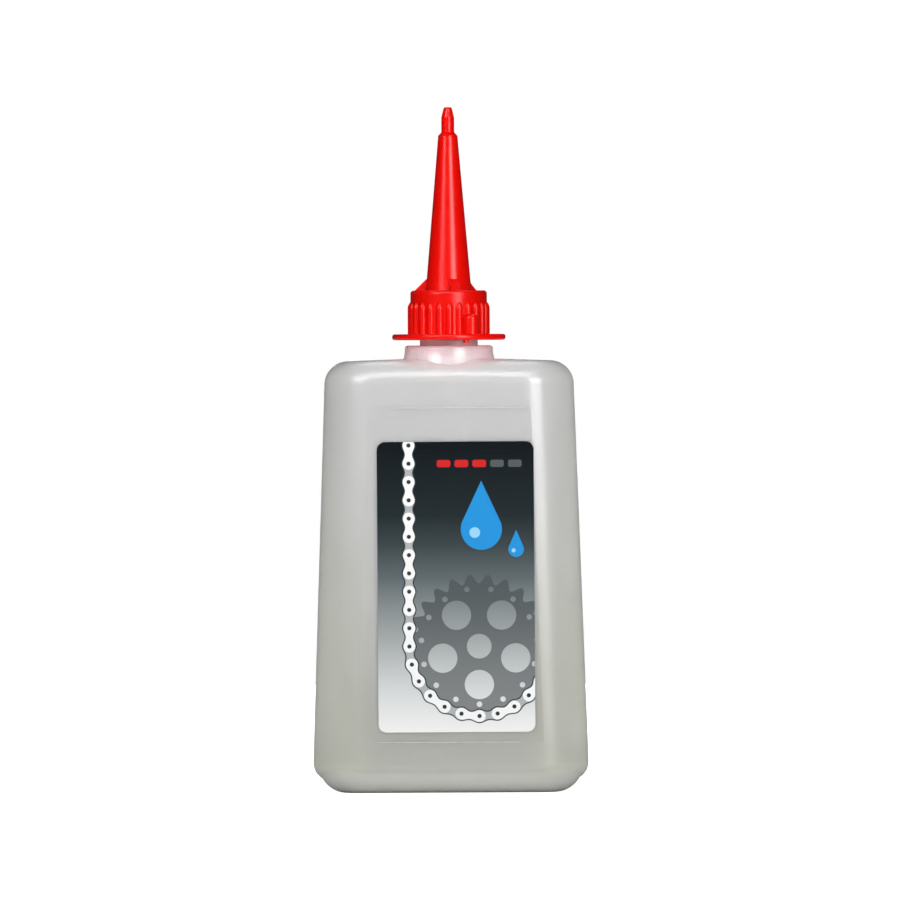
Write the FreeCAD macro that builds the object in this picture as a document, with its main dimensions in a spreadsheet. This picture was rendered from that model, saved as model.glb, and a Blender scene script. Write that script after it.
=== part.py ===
import FreeCAD, Part
import math
import os
import re
import Sketcher

# Chain lube bottle: a flat tapering squeeze bottle, a screw-on nozzle cap with a long spout, and a
# front label. Millimetres and degrees, +Z up, the front faces -Y. The origin is the middle of the base.

SIZES = {
    # Barrel. Its straight sides are measured where they would meet the ground and the shoulder.
    "width_at_ground": 60.9,
    "width_at_shoulder": 54.4,
    "depth_at_ground": 27.0,
    "depth_at_shoulder": 24.0,
    "shoulder_height": 95.2,
    "crown_radius": 520.0,
    "plan_corner": 11.0,
    "side_flat": 0.6,
    "shoulder_fillet": 5.2,
    "wall": 1.0,
    # Foot. The heel curves in above it and leaves a step at the sides and a fine ledge in front.
    "heel_height": 6.4,
    "heel_fillet": 3.8,
    "foot_side_inset": 1.45,
    "foot_front_inset": 0.4,
    "foot_corner": 9.0,
    "foot_fillet": 6.0,
    "foot_land": 2.0,
    "push_up": 0.8,
    "floor_fillet": 6.0,
    "seam_length": 30.0,
    "seam_width": 0.7,
    "seam_height": 0.35,
    # Collar and neck.
    "collar_radius": 9.7,
    "collar_height": 2.9,
    "collar_edge": 0.7,
    "collar_wall": 1.2,
    "collar_flare": 0.6,
    "flare_height": 2.4,
    "flare_round": 6.0,
    "neck_radius": 6.36,
    "neck_length": 10.6,
    "neck_wall": 1.36,
    "lip_edge": 0.3,
    # Label panel, planed into the front until it runs out on the round corners, and label.
    "panel_low": 11.2,
    "panel_drop": 10.6,
    "panel_reach": 3.4,
    "panel_depth": 0.08,
    "label_reach": 0.35,
    "label_above": 2.3,
    "label_below": 7.5,
    "label_shift": 1.3,
    "label_lean": 0.1,
    "label_corner": 1.8,
    "label_thickness": 0.08,
    # Cap skirt, with room inside for the thread.
    "lip_gap": 0.2,
    "cap_roof": 1.3,
    "thread_room": 1.1,
    "skirt_wall": 0.95,
    "skirt_height": 9.6,
    "band_height": 2.3,
    "band_edge": 0.7,
    "rib_count": 24,
    "rib_turn": 1.0,
    "rib_proud": 0.62,
    "rib_round": 0.85,
    "rib_lead": 1.76,
    # Flange at the foot of the skirt, with its boss and lug.
    "flange_reach": 4.05,
    "flange_thickness": 1.3,
    "flange_edge": 0.5,
    "boss_turn": 29.0,
    "boss_offset": 1.54,
    "boss_radius": 1.76,
    "boss_height": 4.3,
    "boss_edge": 0.8,
    "lug_turn": 20.0,
    "lug_setback": 0.75,
    "lug_length": 1.6,
    "lug_width": 0.9,
    "lug_drop": 0.6,
    # Plug that seals the neck, spout and nib.
    "plug_gap": 0.15,
    "plug_wall": 1.05,
    "plug_depth": 2.6,
    "spout_wall": 1.22,
    "spout_tip_radius": 2.12,
    "spout_length": 34.0,
    "spout_bevel": 0.8,
    "nib_radius": 1.41,
    "nib_length": 5.5,
    "nib_taper": 2.3,
    "nib_top_radius": 0.85,
    "nib_edge": 0.5,
    "nib_wall": 0.8,
    "nib_closed": 2.6,
    "gusset_count": 3,
    "gusset_turn": 14.0,
    "gusset_reach": 2.45,
    "gusset_height": 2.5,
    "gusset_thickness": 2.2,
    "gusset_sink": 0.6,
    # A cutting or joining shape reaches this far past the surface that it has to cross.
    "reach_past": 1.0,
}

# Sizes that follow from the ones above.
LINKS = {
    "barrel_bottom": "heel_height - heel_fillet",
    "side_taper": "(width_at_ground - width_at_shoulder) / 2 / shoulder_height",
    "front_taper": "(depth_at_ground - depth_at_shoulder) / 2 / shoulder_height",
    "front_tilt": "atan(front_taper)",
    "inner_floor": "push_up + wall",
    "inner_top": "shoulder_height - wall",
    "plan_round": "min(plan_corner; depth_at_shoulder / 2 - side_flat)",
    "foot_half_width": "width_at_ground / 2 - foot_side_inset",
    "foot_half_depth": "depth_at_ground / 2 - foot_front_inset",
    "collar_top": "shoulder_height + collar_height",
    "collar_root": "shoulder_height - shoulder_fillet",
    "lip": "collar_top + neck_length",
    "neck_bore": "neck_radius - neck_wall",
    "panel_high": "shoulder_height - panel_drop",
    "flat_at_ground": "width_at_ground / 2 - plan_round",
    "label_half": "flat_at_ground - side_taper * label_high + label_reach",
    "label_low": "panel_low + label_above",
    "label_high": "panel_high - label_below",
    "roof_under": "lip + lip_gap",
    "cap_top": "roof_under + cap_roof",
    "cap_bore": "neck_radius + thread_room",
    "band_radius": "cap_bore + skirt_wall",
    "rib_top": "cap_top - band_height",
    "rib_radius": "band_radius + rib_proud",
    "flange_top": "cap_top - skirt_height",
    "flange_bottom": "flange_top - flange_thickness",
    "flange_radius": "band_radius + flange_reach",
    "boss_distance": "band_radius + boss_offset",
    "lug_outer": "flange_radius - lug_setback",
    "plug_radius": "neck_bore - plug_gap",
    "channel_radius": "plug_radius - plug_wall",
    "spout_radius": "channel_radius + spout_wall",
    "spout_top": "cap_top + spout_length",
    "nib_base": "spout_top + spout_bevel",
    "nib_top": "nib_base + nib_length",
    "nib_bore": "nib_radius - nib_wall",
}

ACROSS = FreeCAD.Vector(1, 0, 0)
UP_IN_SKETCH = FreeCAD.Vector(0, 1, 0)
NORMAL = FreeCAD.Vector(0, 0, 1)
FRONT = -90.0
NEAR = 1e-4
ROUGHLY = 1.0

doc = FreeCAD.newDocument("chain_lube_bottle")
sheet = doc.addObject("Spreadsheet::Sheet", "Sizes")
for row, (name, size) in enumerate(SIZES.items(), start=1):
    sheet.set(f"A{row}", name)
    sheet.set(f"B{row}", str(size))
    sheet.setAlias(f"B{row}", name)
doc.recompute()


def bound(text):
    """The formula in the sheet's own cell names."""
    def cell(match):
        word = match.group()
        if word in LINKS:
            return f"({bound(LINKS[word])})"
        return f"Sizes.{word}" if word in SIZES else word
    return re.sub(r"[a-z_]+", cell, text)


def value(text):
    """The number that a formula gives now."""
    return float(sheet.evalExpression(bound(text)))


def new_body(label):
    body = doc.addObject("PartDesign::Body", label)
    body.Label = label
    return body


def origin_feature(body, role):
    return next(item for item in body.Origin.OriginFeatures if item.Role == role)


def new_sketch(body, name, role, place=("0", "0", "0"), axis=NORMAL, turn="0"):
    """A sketch on one of the body's own planes, moved in that plane's axes and then turned."""
    sketch = body.newObject("Sketcher::SketchObject", name)
    sketch.AttachmentSupport = [(origin_feature(body, role), "")]
    sketch.MapMode = "FlatFace"
    if turn != "0":
        sketch.AttachmentOffset = FreeCAD.Placement(FreeCAD.Vector(), FreeCAD.Rotation(axis, 1))
        sketch.setExpression("AttachmentOffset.Rotation.Angle", bound(turn))
    for letter, text in zip("xyz", place):
        if text != "0":
            sketch.setExpression(f"AttachmentOffset.Base.{letter}", bound(text))
    return sketch


def pin_point(sketch, curve, end, across, up):
    """Ties one point of a curve to two formulas, measured from the sketch's origin."""
    for kind, axis, text in (("DistanceX", -2, across), ("DistanceY", -1, up)):
        if text == "0":
            sketch.addConstraint(Sketcher.Constraint("PointOnObject", curve, end, axis))
            continue
        rule = Sketcher.Constraint(kind, -1, 1, curve, end, value(text))
        index = sketch.addConstraint(rule)
        sketch.setExpression(f"Constraints[{index}]", bound(text))


def polygon(sketch, corners):
    """A closed outline through corners, each a pair of formulas."""
    points = [FreeCAD.Vector(value(across), value(up), 0) for across, up in corners]
    count = len(points)
    lines = []
    for index in range(count):
        line = Part.LineSegment(points[index], points[(index + 1) % count])
        lines.append(sketch.addGeometry(line, False))
    for index in range(count):
        following = lines[(index + 1) % count]
        sketch.addConstraint(Sketcher.Constraint("Coincident", lines[index], 2, following, 1))
    for line, (across, up) in zip(lines, corners):
        pin_point(sketch, line, 1, across, up)


def rectangle(sketch, half_width, low, high):
    left = f"-({half_width})"
    polygon(sketch, [(left, low), (half_width, low), (half_width, high), (left, high)])


def round_outline(sketch, across, up, radius):
    """A full circle about the point given by two formulas."""
    middle = FreeCAD.Vector(value(across), value(up), 0)
    curve = sketch.addGeometry(Part.Circle(middle, NORMAL, value(radius)), False)
    pin_point(sketch, curve, 3, across, up)
    index = sketch.addConstraint(Sketcher.Constraint("Radius", curve, value(radius)))
    sketch.setExpression(f"Constraints[{index}]", bound(radius))


def extrude(body, kind, name, sketch, length, symmetric=False, toward_back=False):
    """A Pad or Pocket of the sketch. A Pad goes along its normal and a Pocket against it."""
    feature = body.newObject(f"PartDesign::{kind}", name)
    feature.Profile = sketch
    feature.setExpression("Length", bound(length))
    feature.SideType = "Symmetric" if symmetric else "One side"
    feature.Reversed = toward_back
    doc.recompute()
    return feature


def revolve(body, name, sketch, about="V_Axis", angle=360, symmetric=False):
    """A Revolution of the sketch about its upright axis, or about one of its own lines."""
    feature = body.newObject("PartDesign::Revolution", name)
    feature.Profile = sketch
    feature.ReferenceAxis = (sketch, [about])
    feature.Angle = angle
    feature.Midplane = symmetric
    doc.recompute()
    return feature


def repeat_round(body, name, feature, count):
    pattern = body.newObject("PartDesign::PolarPattern", name)
    pattern.Originals = [feature]
    pattern.Axis = (origin_feature(body, "Z_Axis"), [""])
    pattern.Angle = 360
    pattern.setExpression("Occurrences", bound(count))
    body.Tip = pattern
    doc.recompute()
    return pattern


def round_edges(body, name, base, radius, wanted):
    """Fillets the edges of base for which wanted(edge) is true."""
    picked = [f"Edge{n}" for n, edge in enumerate(base.Shape.Edges, start=1) if wanted(edge)]
    assert picked, f"{name} found no edge"
    feature = body.newObject("PartDesign::Fillet", name)
    feature.Base = (base, picked)
    feature.setExpression("Radius", bound(radius))
    doc.recompute()
    return feature


def must_cut(before, after):
    """A cut that points away from the solid removes nothing, so its volume is compared."""
    assert after.Shape.Volume < before.Shape.Volume - NEAR, f"{after.Name} cut nothing"


def spans_height(low, high):
    """Picks edges that run from about one height to about the other."""
    def wanted(edge):
        box = edge.BoundBox
        return abs(box.ZMin - value(low)) < ROUGHLY and abs(box.ZMax - value(high)) < ROUGHLY
    return wanted


def lies_at(height):
    """Picks edges that lie level at a height."""
    def wanted(edge):
        box = edge.BoundBox
        return abs(box.ZMin - value(height)) < NEAR and abs(box.ZMax - value(height)) < NEAR
    return wanted


def ring_at(radius, height):
    """Picks full circles about the upright axis."""
    level = lies_at(height)

    def wanted(edge):
        is_round = isinstance(edge.Curve, Part.Circle)
        return is_round and level(edge) and abs(edge.Curve.Radius - value(radius)) < NEAR
    return wanted


def tapered_block(label, inset, bottom, top, crown, corner, top_fillet, bottom_fillet):
    """A block with the barrel's tapering sides, set in by inset, with a crowned top and round edges."""
    body = new_body(label)
    wedge = body.newObject("PartDesign::AdditiveWedge", f"{label}_wedge")
    wedge.AttachmentSupport = [(origin_feature(body, "XZ_Plane"), "")]
    wedge.MapMode = "FlatFace"
    wedge.setExpression("Ymin", bound(bottom))
    wedge.setExpression("Ymax", bound(top))
    for number, height in (("", bottom), ("2", top)):
        half_width = f"width_at_ground / 2 - side_taper * ({height}) - ({inset})"
        half_depth = f"depth_at_ground / 2 - front_taper * ({height}) - ({inset})"
        wedge.setExpression(f"X{number}min", bound(f"-({half_width})"))
        wedge.setExpression(f"X{number}max", bound(half_width))
        wedge.setExpression(f"Z{number}min", bound(f"-({half_depth})"))
        wedge.setExpression(f"Z{number}max", bound(half_depth))
    doc.recompute()
    crowned = cut_crown(body, wedge, label, top, crown)
    upright = round_edges(body, f"{label}_corners", crowned, corner, spans_height(bottom, top))

    def on_crown(edge):
        return edge.BoundBox.ZMin > value(top) - value(top_fillet)
    shouldered = round_edges(body, f"{label}_top", upright, top_fillet, on_crown)
    return body, round_edges(body, f"{label}_bottom", shouldered, bottom_fillet, lies_at(bottom))


def cut_crown(body, block, label, top, crown):
    """Cuts a wide shallow arc across the top, highest in the middle."""
    sketch = new_sketch(body, f"{label}_crown", "XZ_Plane")
    half_span = "width_at_ground / 2"
    radius = value(crown)
    middle = FreeCAD.Vector(0, value(top) - radius, 0)
    across = value(half_span)
    above = value(top) + value("reach_past")
    lean = (radius**2 - across**2) ** 0.5
    right = FreeCAD.Vector(across, middle.y + lean, 0)
    left = FreeCAD.Vector(-across, middle.y + lean, 0)
    arc = sketch.addGeometry(Part.Arc(right, FreeCAD.Vector(0, value(top), 0), left), False)
    corners = [left, FreeCAD.Vector(-across, above, 0), FreeCAD.Vector(across, above, 0), right]
    sides = [sketch.addGeometry(Part.LineSegment(a, b), False) for a, b in zip(corners, corners[1:])]
    outline = [arc, *sides]
    for first, second in zip(outline, [*sides, arc]):
        sketch.addConstraint(Sketcher.Constraint("Coincident", first, 2, second, 1))
    sketch.addConstraint(Sketcher.Constraint("Vertical", sides[0]))
    sketch.addConstraint(Sketcher.Constraint("Vertical", sides[2]))
    pin_point(sketch, arc, 3, "0", f"({top}) - ({crown})")
    pin_point(sketch, sides[1], 1, f"-({half_span})", f"({top}) + reach_past")
    pin_point(sketch, sides[1], 2, half_span, f"({top}) + reach_past")
    index = sketch.addConstraint(Sketcher.Constraint("Radius", arc, radius))
    sketch.setExpression(f"Constraints[{index}]", bound(crown))
    cut = extrude(body, "Pocket", f"{label}_crowned", sketch, "depth_at_ground + reach_past", symmetric=True)
    must_cut(block, cut)
    return cut


def make_barrel():
    """The body above the foot, with the shallow panel that takes the label."""
    body, rounded = tapered_block(
        "barrel", "0", "barrel_bottom", "shoulder_height", "crown_radius",
        "plan_round", "shoulder_fillet", "heel_fillet",
    )
    place = ("0", "0", "depth_at_ground / 2")
    sketch = new_sketch(body, "panel_outline", "XZ_Plane", place, ACROSS, "-front_tilt")
    low_half = "flat_at_ground - side_taper * panel_low + panel_reach"
    high_half = "flat_at_ground - side_taper * panel_high + panel_reach"
    polygon(sketch, [
        (f"-({low_half})", "panel_low"),
        (low_half, "panel_low"),
        (high_half, "panel_high"),
        (f"-({high_half})", "panel_high"),
    ])
    panel = extrude(body, "Pocket", "panel", sketch, "panel_depth")
    must_cut(rounded, panel)
    return body


def make_hollow():
    """The space inside the barrel, one wall in from it."""
    body, _ = tapered_block(
        "hollow", "wall", "inner_floor", "inner_top", "crown_radius - wall",
        "plan_round - wall", "shoulder_fillet - wall", "floor_fillet",
    )
    return body


def make_foot():
    """The stepped foot, pushed up in the middle, with the weld line of a blown bottle across it."""
    body = new_body("foot")
    outline = new_sketch(body, "foot_outline", "XY_Plane")
    rectangle(outline, "foot_half_width", "-foot_half_depth", "foot_half_depth")
    block = extrude(body, "Pad", "foot_block", outline, "heel_height")
    upright = round_edges(body, "foot_corners", block, "foot_corner", spans_height("0", "heel_height"))
    rounded = round_edges(body, "foot_round", upright, "foot_fillet", lies_at("0"))
    border = "foot_fillet + foot_land"
    recess = new_sketch(body, "push_up_outline", "XY_Plane")
    half_depth = f"foot_half_depth - ({border})"
    rectangle(recess, f"foot_half_width - ({border})", f"-({half_depth})", half_depth)
    hollow = extrude(body, "Pocket", "push_up", recess, "push_up", toward_back=True)
    must_cut(rounded, hollow)
    eased = round_edges(body, "push_up_corners", hollow, "foot_land", spans_push_up)
    seam = new_sketch(body, "seam_outline", "XY_Plane", ("0", "0", "push_up - seam_height"))
    rectangle(seam, "seam_length / 2", "-seam_width / 2", "seam_width / 2")
    extrude(body, "Pad", "seam", seam, "seam_height + wall / 2")
    assert body.Shape.Volume > eased.Shape.Volume, "the seam added nothing"
    return body


def spans_push_up(edge):
    """The upright corner edges of the push-up, which are as long as it is deep."""
    box = edge.BoundBox
    upright = box.XLength < NEAR and box.YLength < NEAR
    return upright and abs(box.ZMin) < NEAR and abs(box.ZMax - value("push_up")) < NEAR


def make_neck():
    """Collar and neck, turned as a solid."""
    body = new_body("neck")
    sketch = new_sketch(body, "neck_profile", "XZ_Plane")
    polygon(sketch, [
        ("0", "collar_root"),
        ("collar_radius + collar_flare", "collar_root"),
        ("collar_radius + collar_flare", "shoulder_height - flare_height / 2"),
        ("collar_radius", "shoulder_height + flare_height / 2"),
        ("collar_radius", "collar_top"),
        ("neck_radius", "collar_top"),
        ("neck_radius", "lip"),
        ("0", "lip"),
    ])
    turned = revolve(body, "neck_turned", sketch)
    collar = round_edges(body, "collar_edge", turned, "collar_edge", ring_at("collar_radius", "collar_top"))
    flare_top = ring_at("collar_radius", "shoulder_height + flare_height / 2")
    flared = round_edges(body, "flare_round", collar, "flare_round", flare_top)
    round_edges(body, "lip_edge", flared, "lip_edge", ring_at("neck_radius", "lip"))
    return body


def make_bore():
    """The way from the hollow up through the collar and the neck."""
    body = new_body("bore")
    sketch = new_sketch(body, "bore_profile", "XZ_Plane")
    polygon(sketch, [
        ("0", "collar_root - wall"),
        ("collar_radius - collar_wall", "collar_root - wall"),
        ("collar_radius - collar_wall", "collar_top - collar_wall"),
        ("neck_bore", "collar_top - collar_wall"),
        ("neck_bore", "lip + reach_past"),
        ("0", "lip + reach_past"),
    ])
    revolve(body, "bore_turned", sketch)
    return body


def make_bottle():
    """The blown shell: barrel, foot and neck in one piece, hollow to the floor."""
    outside = doc.addObject("Part::MultiFuse", "bottle_outside")
    outside.Shapes = [make_barrel(), make_foot(), make_neck()]
    inside = doc.addObject("Part::MultiFuse", "bottle_inside")
    inside.Shapes = [make_hollow(), make_bore()]
    bottle = doc.addObject("Part::Cut", "bottle")
    bottle.Base = outside
    bottle.Tool = inside
    bottle.Label = "bottle"
    doc.recompute()
    return bottle


def make_label():
    """A thin printed film on the floor of the panel, stuck on a little off centre."""
    body = new_body("front_label")
    middle = "(label_low + label_high) / 2"
    half_height = "(label_high - label_low) / 2"
    place = ("label_shift", middle, "-panel_depth")
    sketch = new_sketch(body, "label_outline", "XZ_Plane", place, NORMAL, "label_lean")
    rectangle(sketch, "label_half", f"-({half_height})", half_height)
    film = extrude(body, "Pad", "label_film", sketch, "label_thickness")

    def film_corner(edge):
        return abs(edge.Length - value("label_thickness")) < NEAR
    round_edges(body, "label_corners", film, "label_corner", film_corner)
    body.Placement = FreeCAD.Placement(FreeCAD.Vector(), FreeCAD.Rotation(ACROSS, -1))
    body.setExpression("Placement.Base.y", bound("-depth_at_ground / 2"))
    body.setExpression("Placement.Rotation.Angle", bound("-front_tilt"))
    doc.recompute()
    return body


def turn_cap_profile(body):
    """The cap's half section: flange, skirt, roof, spout, nib, and the space inside."""
    sketch = new_sketch(body, "cap_profile", "XZ_Plane")
    polygon(sketch, [
        ("cap_bore", "flange_bottom"),
        ("flange_radius", "flange_bottom"),
        ("flange_radius", "flange_top"),
        ("band_radius", "flange_top"),
        ("band_radius", "cap_top"),
        ("spout_radius", "cap_top"),
        ("spout_tip_radius", "spout_top"),
        ("nib_radius", "nib_base"),
        ("nib_radius", "nib_top - nib_taper"),
        ("nib_top_radius", "nib_top"),
        ("0", "nib_top"),
        ("0", "nib_top - nib_closed"),
        ("nib_bore", "nib_top - nib_closed"),
        ("nib_bore", "nib_base"),
        ("spout_tip_radius - spout_wall", "spout_top"),
        ("channel_radius", "cap_top"),
        ("channel_radius", "roof_under - plug_depth"),
        ("plug_radius", "roof_under - plug_depth"),
        ("plug_radius", "roof_under"),
        ("cap_bore", "roof_under"),
    ])
    return revolve(body, "cap_turned", sketch)


def add_ribs(body):
    """Grip ribs round the skirt, each a half-round bar whose tip curves in to the smooth band.

    The half section is turned about the bar's own middle line, half a turn towards the outside.
    """
    sketch = new_sketch(body, "rib_profile", "XZ_Plane", ("0", "0", "0"), UP_IN_SKETCH, f"{FRONT} + rib_turn")
    low = "flange_top - flange_thickness / 2"
    tip_base = "rib_top - rib_lead"
    middle = "rib_radius - rib_round"
    bend = "(rib_round ^ 2 + rib_lead ^ 2) / (2 * rib_round)"
    corners = [(middle, "rib_top"), (middle, low), ("rib_radius", low), ("rib_radius", tip_base)]
    points = [FreeCAD.Vector(value(across), value(up), 0) for across, up in corners]
    sides = [sketch.addGeometry(Part.LineSegment(a, b), False) for a, b in zip(points, points[1:])]
    turn_from = FreeCAD.Vector(value(f"rib_radius - {bend}"), value(tip_base), 0)
    tip_end = math.atan2(points[0].y - turn_from.y, points[0].x - turn_from.x)
    round_tip = Part.ArcOfCircle(Part.Circle(turn_from, NORMAL, value(bend)), 0, tip_end)
    tip = sketch.addGeometry(round_tip, False)
    for first, second in zip(sides, sides[1:]):
        sketch.addConstraint(Sketcher.Constraint("Coincident", first, 2, second, 1))
    sketch.addConstraint(Sketcher.Constraint("Coincident", sides[2], 2, tip, 1))
    sketch.addConstraint(Sketcher.Constraint("Coincident", tip, 2, sides[0], 1))
    for side, (across, up) in zip(sides, corners):
        pin_point(sketch, side, 1, across, up)
    pin_point(sketch, sides[2], 2, *corners[3])
    index = sketch.addConstraint(Sketcher.Constraint("DistanceY", -1, 1, tip, 3, turn_from.y))
    sketch.setExpression(f"Constraints[{index}]", bound(tip_base))
    skirt = body.Shape.Volume
    rib = revolve(body, "rib", sketch, about="Edge1", angle=180, symmetric=True)
    assert rib.Shape.Volume > skirt + NEAR, "the rib added nothing"
    repeat_round(body, "ribs", rib, "rib_count")


def add_boss(body):
    """A half-round boss that stands on the flange against the skirt."""
    place = ("0", "0", "flange_bottom")
    sketch = new_sketch(body, "boss_outline", "XY_Plane", place, NORMAL, f"{FRONT} + boss_turn")
    inner = FreeCAD.Vector(value("band_radius - skirt_wall / 2"), value("boss_radius"), 0)
    outer = FreeCAD.Vector(value("boss_distance"), value("boss_radius"), 0)
    tip = FreeCAD.Vector(value("boss_distance + boss_radius"), 0, 0)

    def across(point):
        return FreeCAD.Vector(point.x, -point.y, 0)
    sides = [(across(inner), across(outer)), (outer, inner), (inner, across(inner))]
    right, left, back = [sketch.addGeometry(Part.LineSegment(*ends), False) for ends in sides]
    arc = sketch.addGeometry(Part.Arc(across(outer), tip, outer), False)
    for first, second in ((right, arc), (arc, left), (left, back), (back, right)):
        sketch.addConstraint(Sketcher.Constraint("Coincident", first, 2, second, 1))
    pin_point(sketch, right, 1, "band_radius - skirt_wall / 2", "-boss_radius")
    pin_point(sketch, left, 2, "band_radius - skirt_wall / 2", "boss_radius")
    pin_point(sketch, right, 2, "boss_distance", "-boss_radius")
    pin_point(sketch, left, 1, "boss_distance", "boss_radius")
    index = sketch.addConstraint(Sketcher.Constraint("DistanceX", -1, 1, arc, 3, outer.x))
    sketch.setExpression(f"Constraints[{index}]", bound("boss_distance"))
    boss = extrude(body, "Pad", "boss", sketch, "flange_thickness + boss_height")
    on_top = lies_at("flange_top + boss_height")

    def outer_top(edge):
        return on_top(edge) and edge.CenterOfMass.cross(NORMAL).Length > value("band_radius") + NEAR
    round_edges(body, "boss_edge", boss, "boss_edge", outer_top)


def add_lug(body):
    """A small lug under the flange."""
    place = ("0", "0", "flange_bottom - lug_drop")
    sketch = new_sketch(body, "lug_outline", "XY_Plane", place, NORMAL, f"{FRONT} + lug_turn")
    inner = "lug_outer - lug_length"
    polygon(sketch, [
        (inner, "-lug_width / 2"),
        ("lug_outer", "-lug_width / 2"),
        ("lug_outer", "lug_width / 2"),
        (inner, "lug_width / 2"),
    ])
    extrude(body, "Pad", "lug", sketch, "lug_drop + flange_thickness / 2")


def add_gussets(body):
    """Triangular webs that stiffen the foot of the spout."""
    sketch = new_sketch(body, "gusset_outline", "XZ_Plane", ("0", "0", "0"), UP_IN_SKETCH,
                        f"{FRONT} + gusset_turn")
    root = "spout_radius - gusset_sink"
    below = "cap_top - cap_roof / 2"
    shrink = "(spout_radius - spout_tip_radius) * gusset_height / spout_length"
    polygon(sketch, [
        (root, below),
        ("spout_radius + gusset_reach", below),
        ("spout_radius + gusset_reach", "cap_top"),
        (f"spout_radius - {shrink}", "cap_top + gusset_height"),
        (root, "cap_top + gusset_height"),
    ])
    web = extrude(body, "Pad", "gusset", sketch, "gusset_thickness", symmetric=True)
    repeat_round(body, "gussets", web, "gusset_count")


def make_cap():
    """The nozzle cap, one moulding."""
    body = new_body("nozzle_cap")
    turned = turn_cap_profile(body)
    band = round_edges(body, "band_edge", turned, "band_edge", ring_at("band_radius", "cap_top"))
    rims = [ring_at("flange_radius", "flange_bottom"), ring_at("flange_radius", "flange_top")]
    rim = round_edges(body, "flange_rim", band, "flange_edge", lambda edge: any(pick(edge) for pick in rims))
    round_edges(body, "nib_edge", rim, "nib_edge", ring_at("nib_top_radius", "nib_top"))
    add_boss(body)
    add_ribs(body)
    add_lug(body)
    add_gussets(body)
    return body


def check_document():
    for item in doc.Objects:
        faults = [word for word in item.State if word in ("Invalid", "Error")]
        assert not faults, f"{item.Name}: {item.State}"


def export(parts):
    for part in parts:
        shape = part.Shape
        assert not shape.isNull() and shape.isValid(), f"{part.Label} is not a valid shape"
        assert len(shape.Solids) == 1, f"{part.Label} has {len(shape.Solids)} solids"
    os.makedirs("parts", exist_ok=True)
    for part in parts:
        part.Shape.exportStep(f"parts/{part.Label}.step")
        box = part.Shape.BoundBox
        print(f"{part.Label}: {part.Shape.Volume:.1f} mm3, z {box.ZMin:.2f} to {box.ZMax:.2f}")


parts = [make_bottle(), make_cap(), make_label()]
doc.recompute()
check_document()
export(parts)
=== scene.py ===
# %% [markdown]
# # A chain lube bottle
# A flat squeeze bottle of milky polyethylene, a red nozzle cap with a long spout, and a printed film
# label. The solids come ready made and stay where they are. This lesson gives them their finishes, adds
# the fine pieces that a solid model leaves out, and sets up a small white studio.

# %% Load the bottle
import math

import bpy
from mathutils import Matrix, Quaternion, Vector


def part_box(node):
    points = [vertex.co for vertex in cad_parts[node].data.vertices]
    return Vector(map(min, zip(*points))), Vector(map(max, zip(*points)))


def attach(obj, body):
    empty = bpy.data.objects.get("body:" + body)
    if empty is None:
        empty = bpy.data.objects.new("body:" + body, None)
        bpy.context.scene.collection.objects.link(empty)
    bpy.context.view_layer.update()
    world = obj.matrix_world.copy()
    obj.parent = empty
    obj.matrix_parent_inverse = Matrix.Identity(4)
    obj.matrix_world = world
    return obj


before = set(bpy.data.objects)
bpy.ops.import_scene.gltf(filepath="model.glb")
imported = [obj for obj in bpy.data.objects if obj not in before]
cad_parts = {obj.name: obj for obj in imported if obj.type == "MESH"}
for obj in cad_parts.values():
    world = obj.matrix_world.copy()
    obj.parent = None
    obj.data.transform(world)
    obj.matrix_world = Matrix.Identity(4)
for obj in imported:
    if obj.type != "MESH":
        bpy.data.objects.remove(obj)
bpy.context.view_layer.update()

MM = 0.001
bottle, cap, label = (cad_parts[name] for name in ("bottle", "nozzle_cap", "front_label"))
bottle_low, bottle_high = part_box("bottle")
cap_low, cap_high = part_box("nozzle_cap")
label_low, label_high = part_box("front_label")
label_middle = (label_low + label_high) / 2
print("pieces:", sorted(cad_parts))
print("bottle", round((bottle_high - bottle_low).x / MM, 2), "mm wide")
print("cap from", round(cap_low.z / MM, 2), "to", round(cap_high.z / MM, 2), "mm up")

# %% [markdown]
# ## The camera
# The bottle was photographed from far away with a long lens, a little above the shoulder, so its sides
# hardly converge. The view could be found by moving a camera about, but then perspective and zoom would
# change together. Here the distance and height set the perspective, and the lens follows from how many
# millimetres the picture is wide at the bottle.

# %% Camera
CAMERA_DISTANCE = 2.5
CAMERA_HEIGHT = 108 * MM
CAMERA_ROLL = math.radians(0.3)
AIM = Vector((0.13 * MM, 0, 75.1 * MM))
PICTURE_WIDTH = 198 * MM
SENSOR = 36.0

eye = Vector((AIM.x, -CAMERA_DISTANCE, CAMERA_HEIGHT))
level_view = (AIM - eye).to_track_quat("-Z", "Y")
rolled_view = level_view @ Quaternion((0, 0, 1), -CAMERA_ROLL)
bpy.ops.object.camera_add(location=eye, rotation=rolled_view.to_euler())
camera = bpy.context.object
camera.data.sensor_width = SENSOR
camera.data.lens = SENSOR * (AIM - eye).length / PICTURE_WIDTH
bpy.context.scene.camera = camera
print("lens", round(camera.data.lens), "mm")

# %% [markdown]
# ## The floor
# A product picture on white needs a floor that stays white right up to the bottle. A lit white floor would
# do that too, but it would throw its light back on the bottle and wash out the red. So this one glows for
# the camera only, and is a dull grey for all other rays.

# %% Floor
FLOOR_SIZE = 1.4
FLOOR_GAP = 0.05 * MM
FLOOR_GREY = (0.5, 0.5, 0.5, 1)
FLOOR_ROUGHNESS = 0.9
WHITE = (1, 1, 1, 1)

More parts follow.
